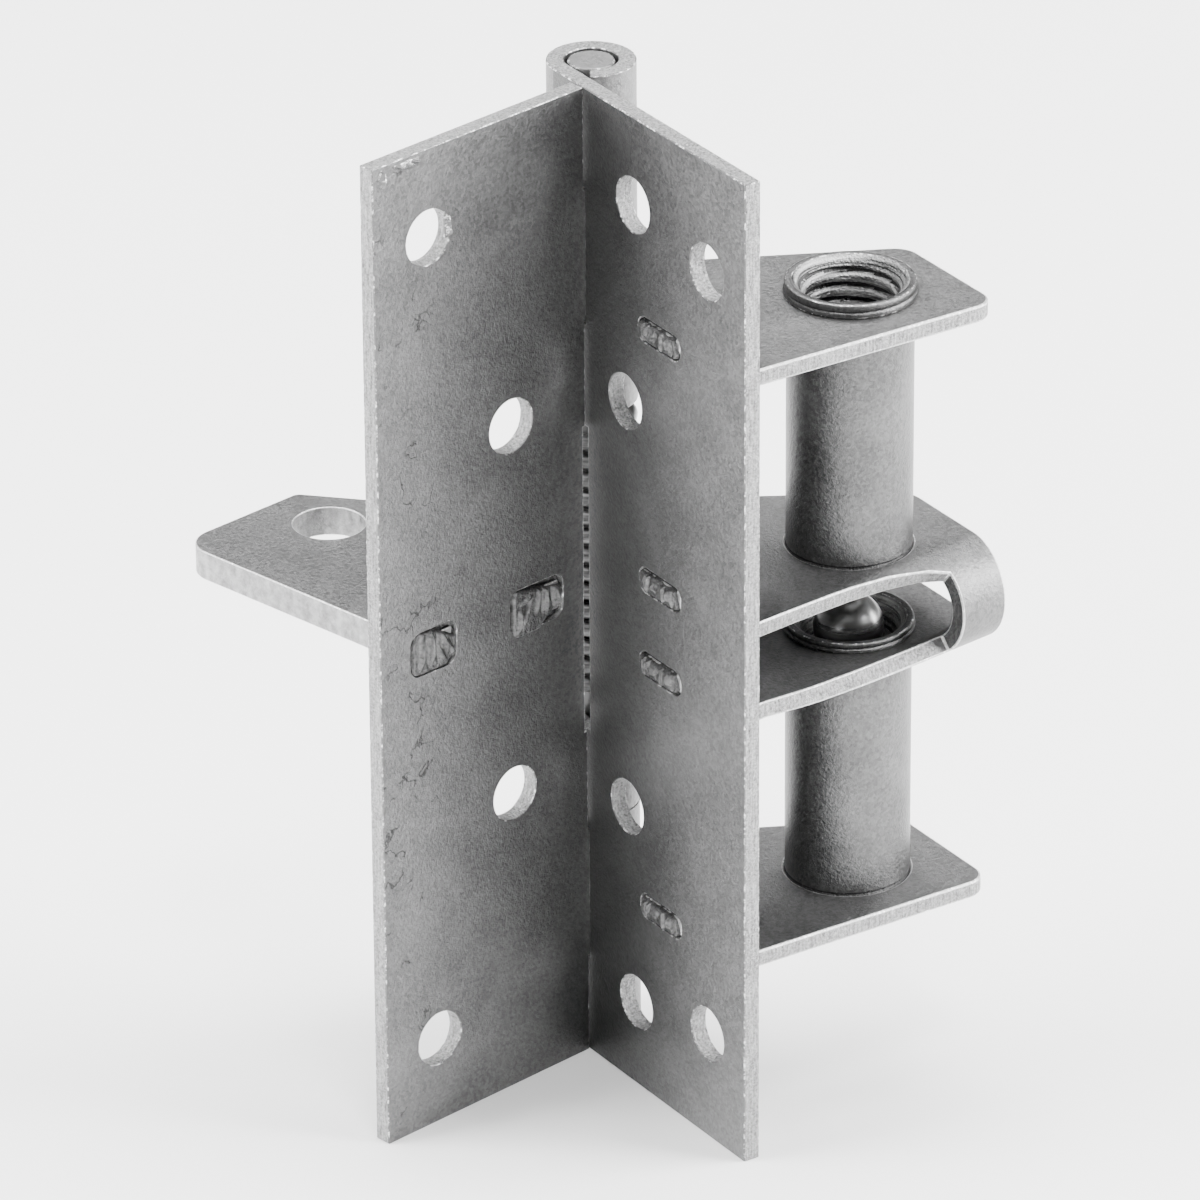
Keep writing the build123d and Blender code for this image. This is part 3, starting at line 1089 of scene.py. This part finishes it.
@dataclass
class ThreadedTube:
    """A tube with a swaged lip at each end, its bore tapped from the outer mouth."""

    name: str
    node: str
    mouth_up: bool
    radius: float = 7.1
    lip_radius: float = 7.36
    flange_radius: float = 7.48
    mouth_radius: float = 6.5
    chamfer_radius: float = 5.95
    chamfer_depth: float = 0.45
    bore: float = 5.1
    thread_root: float = 6.05
    pitch: float = 1.75
    thread_start: float = 0.25
    rows_per_turn: int = 12
    arm_stand: float = 1.2
    plate_stand: float = 1.6
    sheet: float = 2.0
    groove_depth: float = 0.16
    groove_height: float = 0.3
    crest_width: float = 1.05
    flank_slope: float = 3.9
    torn_depth: float = 0.1
    torn_turns: float = 17.0
    torn_rate: float = 2.4
    plain_bore: float = 5.5
    cone_slope: float = 0.55
    root_share: float = 0.72
    shade_from: float = 0.7
    wall_rows: int = 10
    segments: int = 128

    def spans(self) -> tuple[Plan, float, float]:
        """Read the tube's place from its node.

        Returns:
            The axis, the lowest level and the highest level, in mm.
        """
        low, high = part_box(self.node)
        low, high = low / MM, high / MM
        return ((low.x + high.x) / 2, (low.y + high.y) / 2), low.z, high.z

    def thread_radius(self, down: float, angle: float) -> float:
        """The bore's radius on the tapped thread.

        Args:
            down: Distance from the mouth, in mm.
            angle: Angle about the axis.

        Returns:
            The radius in mm.
        """
        turn = (down / self.pitch + angle / (2 * math.pi) + self.thread_start) % 1.0
        rise = min(1.0, max(0.0, self.crest_width - abs(turn - 0.5) * self.flank_slope))
        torn = noise.noise(Vector((math.cos(angle) * self.torn_turns, math.sin(angle) * self.torn_turns,
                                   down * self.torn_rate)))
        return self.bore + (self.thread_root - self.bore) * rise + self.torn_depth * torn

    def lip(self, stand: float) -> Outline:
        """The swaged lip at one end: a rounded rim, a fine groove and a flange down to the sheet, with
        painted shade in the grooves and under the flange.

        Args:
            stand: How far the tube's end stands out of the sheet, in mm.

        Returns:
            Radius, distance from the end and material number, from the rim inwards to the wall.
        """
        mouth, rim, flange, wall = self.mouth_radius, self.lip_radius, self.flange_radius, self.radius
        seat = stand + self.sheet
        groove = wall - self.groove_depth
        end = seat + self.groove_height
        # Painted shade lines the grooves and the flange's underside down to the seat
        coat, rubbed, shade = Turned.COAT, Turned.RUBBED, Turned.PAINTED_SHADE_CREVICE
        return [(mouth, 0.06, rubbed), (mouth + 0.08, 0.0, coat), (rim - 0.22, 0.0, rubbed),
                (rim - 0.06, 0.06, coat), (rim, 0.2, coat), (rim, stand * 0.49, shade),
                (rim - 0.08, stand * 0.51, shade), (rim - 0.08, stand * 0.54, coat),
                (flange - 0.06, stand * 0.6, coat), (flange, stand * 0.7, coat),
                (flange, stand - 0.24, rubbed), (flange - 0.04, stand - 0.08, shade),
                (wall, stand - 0.04, shade), (wall, seat, shade), (groove, seat + 0.02, shade),
                (groove, end - 0.12, shade), (wall, end, coat), (wall, end + 0.08, coat)]

    def outline(self, base: float, tip: float) -> Callable[[float], Outline]:
        """Lay out the wall's outline from the inner end to the mouth and back down the bore.

        Args:
            base: Level of the inner end, in mm.
            tip: Level of the mouth, in mm.

        Returns:
            A function that gives the outline at an angle.
        """
        way = 1.0 if tip > base else -1.0
        length = abs(tip - base)
        inner, outer = self.lip(self.arm_stand), self.lip(self.plate_stand)
        outside = inner[:]
        start = inner[-1][1]
        wall = length - outer[-1][1] - start
        for row in range(1, self.wall_rows):
            outside.append((self.radius, start + wall * row / self.wall_rows, Turned.COAT))
        marks = [mark for _, _, mark in outer]
        for number in range(len(outer) - 1, -1, -1):
            mark = marks[number - 1] if number else Turned.THREAD
            outside.append((outer[number][0], length - outer[number][1], mark))
        rows = int((length - self.chamfer_depth - self.plain_bore) / self.pitch * self.rows_per_turn)
        root = self.bore + self.root_share * (self.thread_root - self.bore)
        seat = ((self.bore + 0.02, 4.6), (5.45, 2.2), (5.95, 0.5))

        def at(angle: float) -> Outline:
            """Lay out the closed outline at one angle.

            Args:
                angle: Angle about the axis.

            Returns:
                The outline.
            """
            line = [(radius, base + way * level, mark) for radius, level, mark in outside]
            for row in range(rows + 1):
                down = self.chamfer_depth + row * self.pitch / self.rows_per_turn
                cone = self.chamfer_radius - self.cone_slope * max(0.0, down - self.chamfer_depth)
                radius = max(self.thread_radius(down, way * angle), min(cone, self.chamfer_radius))
                # Painted shade in the thread's roots, except just inside the mouth
                in_shade = radius > root and down > self.shade_from
                line.append((radius, tip - way * down, Turned.PAINTED_SHADE_CREVICE if in_shade else Turned.THREAD))
            line += [(radius, base + way * level, Turned.THREAD) for radius, level in seat]
            return line

        return at

    def build(self, finishes: list[Material]) -> bpy.types.Object:
        """Build the tube in place of its node.

        Args:
            finishes: The coat, the thread's steel, the rubbed metal and the painted shade of the crevices.

        Returns:
            The piece, riding on the catch side.
        """
        axis, low, high = self.spans()
        base, tip = (low, high) if self.mouth_up else (high, low)
        made = Lathe(axis, self.segments).turn(self.outline(base, tip))
        piece = Piece.settle(self.name, made, finishes)
        Piece.set_on(piece, "catch_side", "tube_paint", self.node)
        return piece


@dataclass
class Barrel:
    """The pin in the rolled knuckles and the spring wound round it."""

    pin_node: str = "hinge_pin"
    spring_node: str = "closing_spring"
    pin_radius: float = 2.95
    rim: float = 0.22
    worn_radius: float = 2.62
    worn_length: float = 3.0
    lean: float = 0.27
    lean_turn: float = -0.58
    core: float = 1.4
    wall_rows: int = 10

    def build_pin(self, finishes: list[Material]) -> bpy.types.Object:
        """Turn the pin with its rounded, rubbed rims.

        Args:
            finishes: The pin's coat and the rubbed metal.

        Returns:
            The piece, riding on the catch side.
        """
        low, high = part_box(self.pin_node)
        low, high = low / MM, high / MM
        axis = ((low.x + high.x) / 2, (low.y + high.y) / 2)
        foot, top = low.z, high.z
        rim, radius, neck = self.rim, self.pin_radius, top - self.worn_length
        coat, rubbed = PinPart.COAT, PinPart.RUBBED
        levels = [foot + (neck - foot) * row / self.wall_rows for row in range(1, self.wall_rows)]

        def at(angle: float) -> Outline:
            """Lay out the closed outline at one angle, thinner and off centre by the top end.

            Args:
                angle: Angle about the axis.

            Returns:
                The outline.
            """
            worn = self.worn_radius + self.lean * math.cos(angle - self.lean_turn)
            line = [(0.02, foot, coat), (self.core, foot, coat), (radius - rim, foot, rubbed),
                    (radius - 0.1, foot + 0.1, rubbed), (radius, foot + rim, coat)]
            line += [(radius, level, coat) for level in levels]
            line += [(radius, neck, coat), (worn, neck + 0.3, coat), (worn, top - 0.9, coat),
                     (worn, top - rim, rubbed), (worn - 0.05, top - 0.08, rubbed), (worn - 0.16, top, rubbed),
                     (worn - 0.22, top, coat), (self.core, top, coat), (0.05, top, coat), (0.01, top, coat)]
            return line

        made = Lathe(axis).turn(at)
        piece = Piece.settle("pin_turned", made, finishes)
        Piece.set_on(piece, "catch_side", "pin_paint", self.pin_node)
        return piece

    def build_spring(self, finish: Material) -> bpy.types.Object:
        """Make the closing spring, which winds between the two leaves.

        Args:
            finish: The wire's material.

        Returns:
            The piece, on no body.
        """
        piece = Piece.settle("closing_spring_wound", Piece.copy_of(self.spring_node), [finish])
        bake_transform(piece)
        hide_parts(self.spring_node)
        log.info("%s: %d faces", piece.name, len(piece.data.polygons))
        return piece


@dataclass
class BallCatch:
    """One of the two sprung balls that hold the tongue."""

    side: str
    up: bool
    travel: float = 1.8

    def build(self, wire: Material, polished: Material, turned: Material) -> None:
        """Dress the ball, its spring and its set screw.

        Args:
            wire: The spring's material.
            polished: The ball's material.
            turned: The set screw's material.
        """
        node = f"{self.side}_ball_spring"
        piece = Piece.settle(f"{node}_wound", Piece.copy_of(node), [wire])
        Piece.set_on(piece, "catch_side", "spring_steel", node)
        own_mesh(piece)
        self.dress_node(f"{self.side}_ball", polished)
        self.dress_node(f"{self.side}_set_screw", turned)

    @staticmethod
    def dress_node(node: str, finish: Material) -> None:
        """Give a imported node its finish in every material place.

        Args:
            node: The node's name.
            finish: Its material.
        """
        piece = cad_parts[node]
        piece.data.materials.clear()
        piece.data.materials.append(finish)
        log.info("%s: dressed as packed", node)


@dataclass
class SoftBox:
    """A large soft lamp."""

    name: str
    place: Triple
    aim: Triple
    width: float
    height: float
    power: float

    def build(self) -> bpy.types.Object:
        """Hang the lamp.

        Returns:
            The lamp.
        """
        data = bpy.data.lights.new(self.name, "AREA")
        data.shape = "RECTANGLE"
        data.size = self.width
        data.size_y = self.height
        data.energy = self.power
        lamp = bpy.data.objects.new(self.name, data)
        way = Vector(self.aim) - Vector(self.place)
        turned = way.to_track_quat("-Z", "Y").to_matrix().to_4x4()
        lamp.matrix_world = Matrix.Translation(Vector(self.place)) @ turned
        bpy.context.scene.collection.objects.link(lamp)
        return lamp


@dataclass
class Studio:
    """The floor, the lamps and the camera at the photo's angle."""

    turn: float = 56.798
    pitch: float = 26.645
    roll: float = -0.370
    distance: float = 1122.7
    aim: Triple = (-13.682, 3.486, -6.506)
    lens: float = 298.70
    sensor: float = 36.0
    clip: Plan = (0.05, 50.0)
    floor_level: float = -60.0
    floor_size: float = 4.0
    surround: float = 0.08

    def axes(self) -> tuple[Vector, Vector, Vector]:
        """Work out the camera's directions.

        Returns:
            Its right, up and forward directions.
        """
        turn, pitch, roll = math.radians(self.turn), math.radians(self.pitch), math.radians(self.roll)
        right = Vector((math.cos(turn), math.sin(turn), 0.0))
        ahead = Vector((-math.sin(turn) * math.cos(pitch), math.cos(turn) * math.cos(pitch),
                        -math.sin(pitch)))
        up = right.cross(ahead)
        rolled_right = math.cos(roll) * right + math.sin(roll) * up
        rolled_up = math.cos(roll) * up - math.sin(roll) * right
        return rolled_right, rolled_up, ahead

    def build_camera(self) -> bpy.types.Object:
        """Set the camera where the photo was taken from.

        Returns:
            The camera.
        """
        right, up, ahead = self.axes()
        data = bpy.data.cameras.new("photo_camera")
        data.lens = self.lens
        data.sensor_width = self.sensor
        data.clip_start, data.clip_end = self.clip
        camera = bpy.data.objects.new("photo_camera", data)
        place = (Vector(self.aim) - self.distance * ahead) * MM
        turned = Matrix((right, up, -ahead)).transposed().to_4x4()
        camera.matrix_world = Matrix.Translation(place) @ turned
        bpy.context.scene.collection.objects.link(camera)
        bpy.context.scene.camera = camera
        return camera

    def build_floor(self, finish: Material) -> bpy.types.Object:
        """Lay the plain floor.

        Args:
            finish: The floor's material.

        Returns:
            The floor.
        """
        made = bmesh.new()
        bmesh.ops.create_grid(made, x_segments=2, y_segments=2, size=self.floor_size,
                              matrix=Matrix.Translation((0, 0, self.floor_level * MM)))
        floor = Piece.settle("floor", made, [finish], smooth=False)
        return floor

    def build_lamps(self) -> None:
        """Hang the soft lamps: one on each side, one overhead and a small one that picks out the rims."""
        right, _, ahead = self.axes()
        target = Vector(self.aim) * MM
        toward = Vector((-ahead.x, -ahead.y, 0.0)).normalized()
        # Across the picture, up and towards the camera in metres; width and height in metres; power in watts
        for name, (across, up, back), (width, height), power in (
                ("rim_light", (0.15, 1.15, 0.6), (0.3, 0.3), 12.0),
                ("key", (1.0, 0.5, 0.05), (0.7, 0.9), 48.0),
                ("overhead", (0.0, 1.25, -0.4), (1.2, 1.2), 48.0),
                ("side_fill", (-1.0, 0.5, 0.15), (0.7, 0.9), 34.0)):
            place = target + across * right + Vector((0, 0, up)) + back * toward
            SoftBox(name, tuple(place), tuple(target), width, height, power).build()

    def build_surround(self) -> None:
        """Set a plain pale surround."""
        world = bpy.data.worlds.new("surround")
        bpy.context.scene.world = world
        world.use_nodes = True
        graph = Graph(world.node_tree)
        glow = graph.add("ShaderNodeBackground", {"Color": grey(1.0), "Strength": self.surround})
        graph.add("ShaderNodeOutputWorld", {"Surface": glow.outputs[0]})

    def build(self, finish: Material) -> None:
        """Build the whole studio.

        Args:
            finish: The floor's material.
        """
        self.build_surround()
        self.build_floor(finish)
        self.build_lamps()
        self.build_camera()
        log.info("studio: camera, floor and lamps")


@dataclass
class Hinge:
    """The whole hinge: two leaves, the barrel, the bracket, its tubes and the catch."""

    finishes: Finishes
    pin_axis: Plan = (-14.0, 3.0)
    corner_angle: float = 79.3
    barrel_radius: float = 5.0
    middle: float = -0.4
    fold_near: Plan = (20.95, -2.0)
    fold_far: Plan = (15.95, 34.0)
    plate_arris: float = 0.26
    bracket_arris: float = 0.22
    rolled_segments: int = 3
    half_sheet: float = 1.0

    @property
    def catch_plane(self) -> LeafPlane:
        """The catch leaf's front face."""
        return LeafPlane((self.pin_axis[0], self.pin_axis[1] - self.barrel_radius), (1.0, 0.0))

    @property
    def tongue_plane(self) -> LeafPlane:
        """The tongue leaf's front face, mirrored and turned by the V's angle.

        Returns:
            Its plane.
        """
        angle = math.radians(-self.corner_angle)
        along = (math.cos(angle), math.sin(angle))
        start = (self.pin_axis[0] - self.barrel_radius * math.sin(angle),
                 self.pin_axis[1] + self.barrel_radius * math.cos(angle))
        return LeafPlane(start, along, side=-1.0)

    def build_leaves(self) -> None:
        """Build both leaves with their rolled knuckles."""
        coats = self.finishes.of(Look.LEAF, Look.SHEARED, Look.ARRIS)
        PressedPiece("catch_leaf", "catch_side", "leaf_paint", (0.0, 1.0, 0.0), barrel=self.pin_axis,
                     front=self.catch_plane.out).build(coats + self.finishes.of(Look.CATCH_FRONT_PAINTED_SHADE))
        out = self.tongue_plane.out
        PressedPiece("tongue_leaf", "tongue_side", "leaf_paint", (out[0], out[1], 0.0), barrel=self.pin_axis,
                     front=out).build(coats + self.finishes.of(Look.TONGUE_FRONT_PAINTED_SHADE))

    def build_bracket(self) -> None:
        """Build the plates, the folded bracket and the tongue."""
        upward = (0.0, 0.0, 1.0)
        coats = self.finishes.of(Look.BRACKET, Look.SHEARED, Look.ROLLED_RIM)
        for node in ("top_plate", "bottom_plate"):
            PressedPiece(node, "catch_side", "bracket_paint", upward, self.plate_arris,
                         self.rolled_segments).build(coats)
        fold = (self.fold_near, self.fold_far, self.middle)
        PressedPiece("u_bracket", "catch_side", "bracket_paint", upward, self.bracket_arris,
                     self.rolled_segments, fold=fold).build(coats + self.finishes.of(Look.PAINTED_SHADE_CUT))
        blanked = self.finishes.of(Look.BRACKET, Look.BLANKED, Look.ROLLED_RIM)
        PressedPiece("tongue_plate", "tongue_side", "bracket_paint", upward).build(blanked)

    def build_tabs(self) -> None:
        """Build the staked ends of the six tabs."""
        top, bottom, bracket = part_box("top_plate"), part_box("bottom_plate"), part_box("u_bracket")
        levels = (((top[0].z + top[1].z) / 2) / MM, bracket[1].z / MM - self.half_sheet,
                  bracket[0].z / MM + self.half_sheet, ((bottom[0].z + bottom[1].z) / 2) / MM)
        staked = self.finishes.made[Look.STAKED]
        for number, level in enumerate(levels):
            sway = 0.25 * math.sin(number * 2.1)
            ridges = (
                Ridge(-2.55 + sway, 0.1, 4, 0.14, 1.2, 0.3),
                Ridge(-1.95, 0.4, -6, 0.16, 0.9, 0.34 - 0.3 * sway),
                Ridge(-1.1 + sway, -0.2, 62, 0.2, 0.55, 0.3), Ridge(-0.4, 0.0, -14, 0.26, 0.5, -0.24),
                Ridge(0.85 + sway, -0.1, 3, 0.13, 1.3, 0.26),
                Ridge(2.05, 0.1, 12 - 30 * sway, 0.42, 0.7, 0.4), Ridge(2.9, -0.3, -8, 0.2, 0.7, -0.25))
            StakedTab(f"staked_tab_{number + 1}", self.catch_plane, reach=20.55, level=level - 0.1, width=8.3,
                      height=3.1, body="catch_side", ridges=ridges,
                      trims=((0.0, 1.0, 1.28), (1.0, 0.5, 3.95)), seed=number * 5.3).build(staked)
        outer = (
            Ridge(-1.95, 0.3, -4, 0.26, 1.7, 0.42), Ridge(-1.15, 0.2, 3, 0.2, 1.8, -0.2),
            Ridge(-0.35, 0.5, 5, 0.22, 1.5, 0.36), Ridge(0.35, 0.2, 3, 0.18, 1.7, -0.16),
            Ridge(1.5, 0.6, 22, 0.2, 1.1, 0.3), Ridge(2.3, -0.3, 30, 0.22, 1.2, 0.26),
            Ridge(1.2, -1.1, 35, 0.2, 0.8, 0.22))
        StakedTab("staked_tongue_tab_outer", self.tongue_plane, reach=29.5, level=self.middle, width=7.1,
                  height=5.6, body="tongue_side", ridges=outer, trims=((0.45, 0.9, 2.45), (0.8, -0.6, 3.3)),
                  seed=41.0, proud=0.2, mirrored=True).build(staked)
        inner = (
            Ridge(-2.9, -1.0, -6, 0.26, 1.4, 0.42), Ridge(-2.2, -0.6, -26, 0.24, 1.9, -0.42),
            Ridge(-1.9, 1.5, -70, 0.2, 0.9, 0.3), Ridge(-0.1, 0.9, -8, 0.24, 1.4, 0.3),
            Ridge(0.6, 0.5, -4, 0.2, 1.5, -0.2), Ridge(1.2, 0.7, 4, 0.22, 1.5, 0.34),
            Ridge(2.1, 0.6, 8, 0.2, 1.4, -0.2), Ridge(2.9, 0.3, 12, 0.24, 1.2, 0.42))
        StakedTab("staked_tongue_tab_inner", self.tongue_plane, reach=13.7, level=self.middle - 0.3,
                  width=8.2, height=6.2, body="tongue_side", ridges=inner,
                  trims=((0.2, 1.0, 2.55), (0.62, -0.78, 2.6)), seed=52.0, proud=0.24,
                  mirrored=True).build(staked)

    def build_burrs(self) -> None:
        """Build the chipped corner and the torn lip of a hole on the tongue leaf."""
        chip = (Ridge(-0.9, 0.1, 60, 0.16, 0.9, 0.3), Ridge(0.5, -0.1, 50, 0.2, 0.7, 0.22),
                Ridge(1.5, 0.1, 70, 0.12, 0.6, 0.25))
        tear = (Ridge(0.0, 0.3, 8, 0.18, 1.0, 0.25), Ridge(0.25, -0.6, -14, 0.14, 0.6, 0.2))
        for name, reach, level, width, height, ridges, trims, seed in (
                ("chipped_edge", 32.6, 59.0, 4.6, 1.3, chip, ((-0.32, -1.0, 0.55),), 3.0),
                ("chipped_corner", 36.0, 58.7, 1.6, 1.8, tear, ((0.8, 0.6, 0.8),), 9.0),
                ("torn_hole_lip", 26.3, 49.9, 1.0, 2.6, tear, (), 15.0)):
            StakedTab(name, self.tongue_plane, reach, level, width, height, "tongue_side", ridges,
                      trims=trims, seed=seed, sunk=0.1, roll=0.28, proud=0.05, mirrored=True, step=0.06,
                      slot="leaf_paint").build(self.finishes.made[Look.ARRIS])

    def build(self) -> None:
        """Build and dress every piece in order."""
        self.build_leaves()
        self.build_burrs()
        self.build_bracket()
        self.build_tabs()
        coats = self.finishes.of(Look.TUBE, Look.THREAD, Look.ARRIS, Look.PAINTED_SHADE_CREVICE)
        ThreadedTube("upper_tube_tapped", "upper_tube", True).build(coats)
        ThreadedTube("lower_tube_tapped", "lower_tube", False).build(coats)
        barrel = Barrel()
        barrel.build_pin(self.finishes.of(Look.PIN, Look.ARRIS))
        barrel.build_spring(self.finishes.made[Look.SPRING])
        steels = self.finishes.of(Look.SPRING, Look.BALL, Look.SCREW)
        for side in ("upper", "lower"):
            BallCatch(side, side == "upper").build(*steels)


def main() -> None:
    """Build the effects, the finishes, the hinge and the studio."""
    logging.basicConfig(level=logging.INFO, format="%(name)s: %(message)s")
    effects = Effects()
    Hinge(Finishes(effects)).build()
    Studio().build(PaleFloor().material(effects))
    bpy.context.view_layer.update()


if __name__ == "__main__":
    main()
